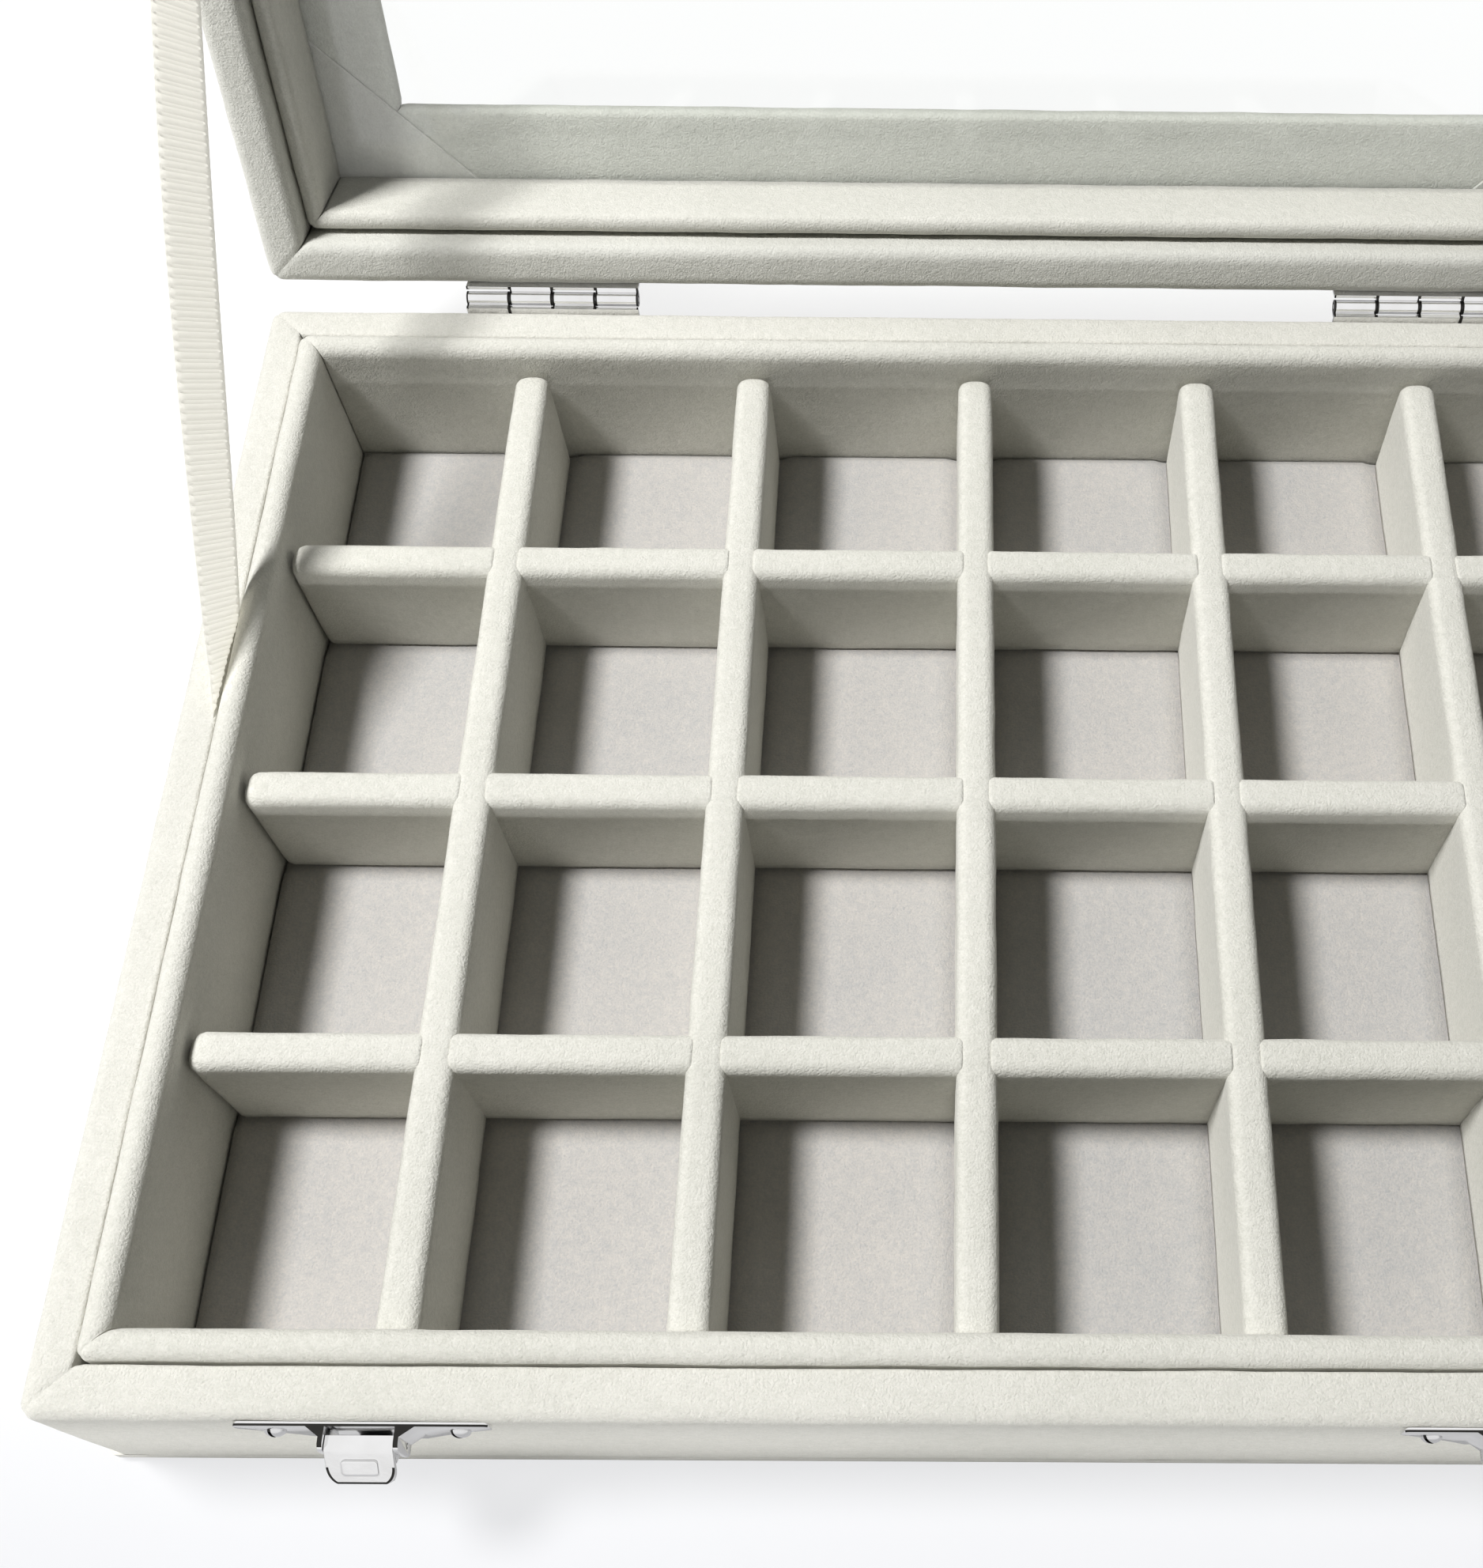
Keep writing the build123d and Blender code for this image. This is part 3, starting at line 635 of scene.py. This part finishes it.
def corner_patch(name, node, sx, sy):
    """A triangle with its right angle in the corner, from slices that fan out from there to the fold."""
    low, high = closed_box(node)
    corner_x, corner_y = (low.x, high.x)[sx > 0], (low.y, high.y)[sy > 0]
    leg, thickness = high.x - low.x, high.z - low.z
    slice_points = [(0, low.z + corner_lift * thickness), (0, high.z), (1, high.z - fold_round),
                    (1 + fold_round / leg, low.z + thickness / 2), (1, low.z)]
    rings = []
    for share in (k / patch_steps for k in range(patch_steps + 1)):
        rings.append([(corner_x - sx * reach * leg * share, corner_y - sy * reach * leg * (1 - share), z)
                      for reach, z in slice_points])
    bm = bmesh.new()
    tube(bm, rings)
    bmesh.ops.remove_doubles(bm, verts=bm.verts, dist=merge_gap)
    bmesh.ops.recalc_face_normals(bm, faces=bm.faces)
    bm.transform(lid_open)
    stand_in(object_of(name, bm, patch_painted_shade_velvet), node, "lid")


for side_y, sy in (("front", -1), ("back", 1)):
    for side_x, sx in (("left", -1), ("right", 1)):
        corner_patch(f"patch_{side_y}_{side_x}", f"lid_corner_{side_y}_{side_x}", sx, sy)


# Window glass
# A loose pane of clear float glass, faintly green in its thickness, that lies on the patches
# and the border and is held by the liner.
def window_glass():
    """Clear glass with faint smears, whose shadow is thin: light falls through it at a slant."""
    f = Finish(bpy.data.materials.new("window_glass"))
    smear = f.mottle(f.spot(), 22.0, 3.0)
    pane = f.add("ShaderNodeBsdfPrincipled", {
        "Base Color": (0.985, 0.995, 0.99, 1), "Roughness": (smear - 0.5) * 0.03 + 0.03,
        "IOR": 1.46, "Transmission Weight": 1.0})
    clear = f.add("ShaderNodeBsdfTransparent", {"Color": (0.80, 0.815, 0.805, 1)})
    return f.close(f.add("ShaderNodeMixShader", {0: f.ray("Is Shadow Ray"), 1: pane, 2: clear}))


dress("glass_pane", window_glass())


# Hinges
# Two butt hinges of bright nickel-plated sheet sit on the back faces, each with four rolled
# knuckles on a through pin, and are held by small round-headed nails.
rolled_edge, joint_shade, barrel_reach = 0.0003, 0.0004, 0.0034
bevelled_past, smooth_below, weld_gap = math.radians(50), math.radians(38), 2e-6
knuckle_end_area = 3e-6
marks_scale, haze_share = 900.0, 0.2


def plated(name, colour, dull, roughness, spread):
    """Bright plated sheet: faint rolling marks and a little uneven polish."""
    f = Finish(bpy.data.materials.new(name))
    spot = f.spot()
    marks = f.mottle(spot, marks_scale, 4.0, 0.6)
    haze = f.mottle(spot, marks_scale * haze_share, 2.0)
    bump = f.add("ShaderNodeBump", {"Strength": 0.08, "Distance": 0.0002, "Height": marks})
    return f.close(f.add("ShaderNodeBsdfPrincipled", {
        "Base Color": f.mix(haze, (*colour, 1), (*dull, 1)), "Metallic": 1.0,
        "Roughness": (marks - 0.5) * spread + roughness, "Normal": bump}))


nickel = plated("nickel", (0.90, 0.90, 0.905), (0.76, 0.755, 0.75), 0.16, 0.10)
# Near-black nickel: painted dark reflection on rolled edges, painted shade in joints and slots.
nickel_painted_shade_and_reflection = plated("nickel_painted_shade_and_reflection", (0.05, 0.048, 0.045), (0.025, 0.024, 0.023), 0.32, 0.16)
screw_steel = plated("screw_steel", (0.80, 0.80, 0.81), (0.62, 0.615, 0.61), 0.22, 0.14)


def cut_across(bm, point, normal):
    """Cuts a mesh along a plane, and keeps both sides."""
    bmesh.ops.bisect_plane(bm, geom=bm.verts[:] + bm.edges[:] + bm.faces[:], plane_co=point, plane_no=normal)


def in_order(bm):
    """Cuts leave a mesh's parts in another order on each run, so this puts them in one order."""
    for parts, spot in ((bm.verts, lambda v: v.co), (bm.edges, lambda e: e.verts[0].co + e.verts[1].co),
                        (bm.faces, lambda f: f.calc_center_median())):
        ranked = sorted(parts, key=lambda part: tuple(spot(part)))
        rank = {part: k for k, part in enumerate(ranked)}
        parts.sort(key=rank.get)


def pressed_metal(node, body, mark=None):
    """Stands for a metal node: its edges are rolled and painted with a dark reflection, and the faces that
    the marking picks are painted dark as well.
    """
    bm = bmesh.new()
    bm.from_mesh(nodes[node].data)
    bmesh.ops.remove_doubles(bm, verts=bm.verts, dist=weld_gap)
    bmesh.ops.dissolve_limit(bm, angle_limit=math.radians(1), verts=bm.verts, edges=bm.edges)
    sharp = [e for e in bm.edges if len(e.link_faces) == 2 and e.calc_face_angle(0) > bevelled_past]
    # The rolled faces take the second finish, a painted dark reflection.
    bmesh.ops.bevel(bm, geom=sharp, offset=rolled_edge, segments=2, profile=0.5, affect="EDGES",
                    clamp_overlap=True, material=1)
    if mark:
        bm.normal_update()
        mark(bm)
        in_order(bm)
    for f in bm.faces:
        f.smooth = True
    for e in bm.edges:
        e.smooth = len(e.link_faces) == 2 and e.calc_face_angle(0) < smooth_below
    stand_in(object_of(f"{node}_metal", bm, nickel, nickel_painted_shade_and_reflection), node, body)


def knuckle_joints(bm):
    """Paints shade on the barrel beside each end of a knuckle, where the joints meet."""
    ends = sorted({round(f.calc_center_median().x, 4) for f in bm.faces
                   if abs(f.normal.x) > 0.99 and f.calc_area() > knuckle_end_area})
    for x in ends:
        for side_x in (x - joint_shade, x + joint_shade):
            cut_across(bm, (side_x, 0, 0), (1, 0, 0))
    for f in bm.faces:
        middle = f.calc_center_median()
        in_barrel = (middle.yz - hinge_at.yz).length < barrel_reach
        if in_barrel and min(abs(middle.x - x) for x in ends) < joint_shade:
            f.material_index = 1


for side in ("left", "right"):
    pressed_metal(f"hinge_{side}_base_leaf", "base", knuckle_joints)
    pressed_metal(f"hinge_{side}_lid_leaf", "lid", knuckle_joints)
    pressed_metal(f"hinge_{side}_pin", "base")

group_gap = 0.01
dome_rows, dome_columns, shank_sides = 8, 7, 20
dome_fullness, slot_floor, slot_scatter = 0.6, 0.35, 1.2
head_rim, shank_point = 0.999, 0.3


def fastener_spots(node, in_lid):
    """The corners of each nail's or screw's box, of a group, with the lid shut."""
    points = [lid_close @ v.co if in_lid else v.co.copy() for v in nodes[node].data.vertices]
    groups = []
    for p in sorted(points, key=lambda p: p.x):
        if not groups or p.x - groups[-1][-1].x > group_gap:
            groups.append([])
        groups[-1].append(p)
    return [corners_of(g) for g in groups]


def dome(bm, centre, face_y, outward, radius, height, slot_width, turn):
    """A low dome in columns across a driver's slot, which sinks between the two middle ones."""
    half_slot = slot_width / 2
    beside = [half_slot + (radius - half_slot) * math.sin(math.pi / 2 * k / dome_columns)
              for k in range(dome_columns + 1)]
    sunk_pair = [(-half_slot, True), (half_slot, True)] if slot_width else []
    columns = [(-u, False) for u in reversed(beside)] + sunk_pair + [(u, False) for u in beside]
    grid = []
    for u, sunk in columns:
        span = math.sqrt(max(radius ** 2 - u ** 2, 0))
        grid.append([])
        for t in (k / dome_rows for k in range(-dome_rows, dome_rows + 1)):
            from_axis = u * u + (t * span) ** 2
            rise = height * (1 - from_axis / radius ** 2) ** dome_fullness if from_axis < radius ** 2 else 0
            if sunk:
                rise = min(rise, height * slot_floor)
            spot = turn @ Vector((u, t * span))
            grid[-1].append(bm.verts.new((centre.x + spot.x, face_y + outward * rise, centre.z + spot.y)))
    for here, there, (_, sunk), (_, next_sunk) in zip(grid, grid[1:], columns, columns[1:]):
        for j in range(2 * dome_rows):
            face = bm.faces.new((here[j], there[j], there[j + 1], here[j + 1]))
            # The slot's faces take the dark finish: painted shade in the slot.
            face.material_index = int(sunk or next_sunk)


def shank(bm, centre, profile):
    """The turned part under a head, from (y, radius) down to its tip."""
    turns = [2 * math.pi * k / shank_sides for k in range(shank_sides)]
    rings = []
    for y, radius in profile:
        rings.append([bm.verts.new((centre.x + radius * math.cos(a), y, centre.z + radius * math.sin(a)))
                      for a in turns])
    for here, there in zip(rings, rings[1:]):
        for k in range(shank_sides):
            j = (k + 1) % shank_sides
            bm.faces.new((here[k], here[j], there[j], there[k]))
    bm.faces.new(rings[-1])


def domed_heads(name, node, in_lid, outward, shank_radius, head_radius, head_height,
                slot_width=0.0, slot_turn=0.0):
    """Nails or screws along Y with low domes, and with a driver's slot where one is given."""
    bm = bmesh.new()
    for low, high in fastener_spots(node, in_lid):
        centre = (low + high) / 2
        face_y = high.y - head_height if outward > 0 else low.y + head_height
        foot_y = low.y if outward > 0 else high.y
        turn = Matrix.Rotation(slot_turn + ripple(centre, 0.03, 2.3) * slot_scatter, 2)
        dome(bm, centre, face_y, outward, head_radius, head_height, slot_width, turn)
        shank(bm, centre, ((face_y, head_radius * head_rim), (face_y, shank_radius),
                           (foot_y, shank_radius * shank_point)))
    bmesh.ops.remove_doubles(bm, verts=bm.verts, dist=weld_gap)
    bmesh.ops.recalc_face_normals(bm, faces=bm.faces)
    for f in bm.faces:
        f.smooth = True
    for e in bm.edges:
        if len(e.link_faces) == 2 and e.calc_face_angle(0) > bevelled_past:
            e.smooth = False
    if in_lid:
        bm.transform(lid_open)
    stand_in(object_of(name, bm, screw_steel, nickel_painted_shade_and_reflection), node, "lid" if in_lid else "base")


nail = dict(outward=1, shank_radius=0.00055, head_radius=0.0013, head_height=0.0006)
domed_heads("nails_base", "hinge_nails_base", False, **nail)
domed_heads("nails_lid", "hinge_nails_lid", True, **nail)


# Press latches
# A winged plate of nickel-plated sheet, held by slotted screws, has two cheeks with a pin. On
# the pin turns a sprung thumb lever, whose nose catches the keeper on the lid.
spring_steel = plated("spring_steel", (0.60, 0.60, 0.61), (0.46, 0.455, 0.45), 0.32, 0.12)
plate_sheet, wing_line, tab_line = 0.0008, 0.00042, 0.00045
tab_end_lines, tab_side_lines = 2, 7


def wing_painted_reflection(bm):
    """The plate's top edge is rolled forwards, with a painted dark reflection along the roll."""
    top = max(v.co.z for v in bm.verts if v.co.y < wall_low.y)
    behind_line = wall_low.y - plate_sheet + wing_line
    cut_across(bm, (0, behind_line, 0), (0, 1, 0))
    for f in bm.faces:
        middle = f.calc_center_median()
        if f.normal.z > 0.3 and middle.z > top - wing_line and middle.y < behind_line:
            f.material_index = 1


def tab_painted_reflection(bm):
    """The thumb tab's edge is rolled under, shown at its tip and a little up its sides by a painted dark
    reflection on a flat rim.
    """
    face = max((f for f in bm.faces if f.normal.z > 0.2), key=lambda f: f.calc_area()).normal.copy()
    tip = min(v.co.y for v in bm.verts)
    left, right = (pick(v.co.x for v in bm.verts) for pick in (min, max))
    sloping = [f for f in bm.faces if f.normal.dot(face) > 0.999]
    rolled = bmesh.ops.inset_region(bm, faces=sloping, thickness=tab_line, use_boundary=True,
                                    use_even_offset=True)
    for ring in rolled["faces"]:
        middle = ring.calc_center_median()
        at_side = min(middle.x - left, right - middle.x) < 2 * tab_line
        if middle.y < tip + (tab_side_lines if at_side else tab_end_lines) * tab_line:
            ring.material_index = 1


for side in ("left", "right"):
    pressed_metal(f"latch_{side}_plate", "base", wing_painted_reflection)
    pressed_metal(f"latch_{side}_lever", f"latch_lever_{side}", tab_painted_reflection)
    pressed_metal(f"latch_{side}_pin", "base")
    pressed_metal(f"latch_{side}_keeper", "lid")
    dress(f"latch_{side}_spring", spring_steel)
screw = dict(outward=-1, shank_radius=0.0008, head_radius=0.002, head_height=0.0011, slot_width=0.0007,
             slot_turn=math.radians(35))
domed_heads("screws_base", "latch_screws_base", False, **screw)
domed_heads("screws_lid", "latch_screws_lid", True, **screw)


# Ribbon stay
# A cream ribbon with woven cross ribs, glued into the left grooves of base and lid. It is
# taut with the lid open, and its free stretch turns a little towards the front.
ribbon_width, ribbon_thickness, tuck = 0.018, 0.0005, 0.019
rib_pitch, rib_height, selvage, selvage_rib = 0.00213, 0.00018, 0.0011, 0.15
rib_steps, ribbon_columns = 6, 8
ribbon_twist, ribbon_bow = math.radians(11.5), 0.0013


def ribbon_ends():
    """The middle of each end of the strip in the frame: in the base, then in the lid."""
    points = sorted((v.co.copy() for v in nodes["ribbon_stay"].data.vertices), key=lambda p: p.y + p.z)
    half = len(points) // 2
    return [sum(end, Vector()) / half for end in (points[:half], points[half:])]


def ribbon_finish():
    """Matt woven threads that let some of the light through."""
    f = Finish(bpy.data.materials.new("ribbed_ribbon"))
    spot = f.spot()
    threads = f.mottle(spot, 3200.0, 2.0)
    patches = f.mottle(spot, 60.0, 3.0)
    share = f.add("ShaderNodeClamp", {"Value": (threads - 0.5) * 0.8 + (patches - 0.5) * 0.5 + 0.4})
    bump = f.add("ShaderNodeBump", {"Strength": 0.35, "Distance": 0.0002, "Height": threads})
    cloth = f.add("ShaderNodeBsdfPrincipled", {
        "Base Color": f.mix(share, (0.87, 0.86, 0.82, 1), (0.76, 0.75, 0.70, 1)), "Roughness": 0.62,
        "Specular IOR Level": 0.35, "Normal": bump, "Sheen Weight": 0.15, "Sheen Roughness": 0.4})
    through = f.add("ShaderNodeBsdfTranslucent", {"Color": (0.96, 0.95, 0.91, 1)})
    return f.close(f.add("ShaderNodeMixShader", {0: 0.7, 1: cloth, 2: through}))


def ribbon_strip():
    """Two ribbed faces with closed edges, from end to end, turned in the free stretch."""
    start, end = ribbon_ends()
    length, ahead = (end - start).length, (end - start).normalized()
    wide = Vector((0, -ahead.z, ahead.y)).normalized()
    aside = ahead.cross(wide)
    count = math.ceil(length / rib_pitch * rib_steps)
    bm = bmesh.new()
    sheets = []
    for face in (1, -1):
        rows = []
        for k in range(count + 1):
            s = length * k / count
            free = min(max((s - tuck) / (length - 2 * tuck), 0), 1)
            turn = ribbon_twist * math.sin(math.pi * free) ** 0.6 if 0 < free < 1 else 0.0
            across = wide * math.cos(turn) - aside * math.sin(turn)
            facing = ahead.cross(across) * face
            middle = start + ahead * s - Vector((ribbon_bow * math.sin(math.pi * free) ** 1.5, 0, 0))
            rows.append([])
            for c in range(ribbon_columns + 1):
                off = (c / ribbon_columns - 0.5) * ribbon_width
                woven = selvage_rib if ribbon_width / 2 - abs(off) < selvage else 1.0
                rib = rib_height * woven * math.cos(2 * math.pi * s / rib_pitch)
                raised = ribbon_thickness / 2 - rib_height + rib
                rows[-1].append(bm.verts.new(middle + across * off + facing * raised))
        sheets.append(rows)
    front, back = sheets
    for rows, flip in ((front, False), (back, True)):
        for lower, upper in zip(rows, rows[1:]):
            for c in range(ribbon_columns):
                quad = (lower[c], lower[c + 1], upper[c + 1], upper[c])
                bm.faces.new(quad[::-1] if flip else quad).smooth = True
    for k in range(count):
        for c in (0, ribbon_columns):
            bm.faces.new((front[k][c], back[k][c], back[k + 1][c], front[k + 1][c]))
    for k in (0, count):
        for c in range(ribbon_columns):
            bm.faces.new((front[k][c], front[k][c + 1], back[k][c + 1], back[k][c]))
    bmesh.ops.recalc_face_normals(bm, faces=bm.faces)
    made = object_of("ribbon", bm, ribbon_finish())
    start + ahead * tuck
    end - ahead * tuck
    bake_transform(made)
    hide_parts("ribbon_stay")


ribbon_strip()

# The picture's plain colours
scene.view_settings.view_transform = "Standard"
bpy.context.view_layer.update()
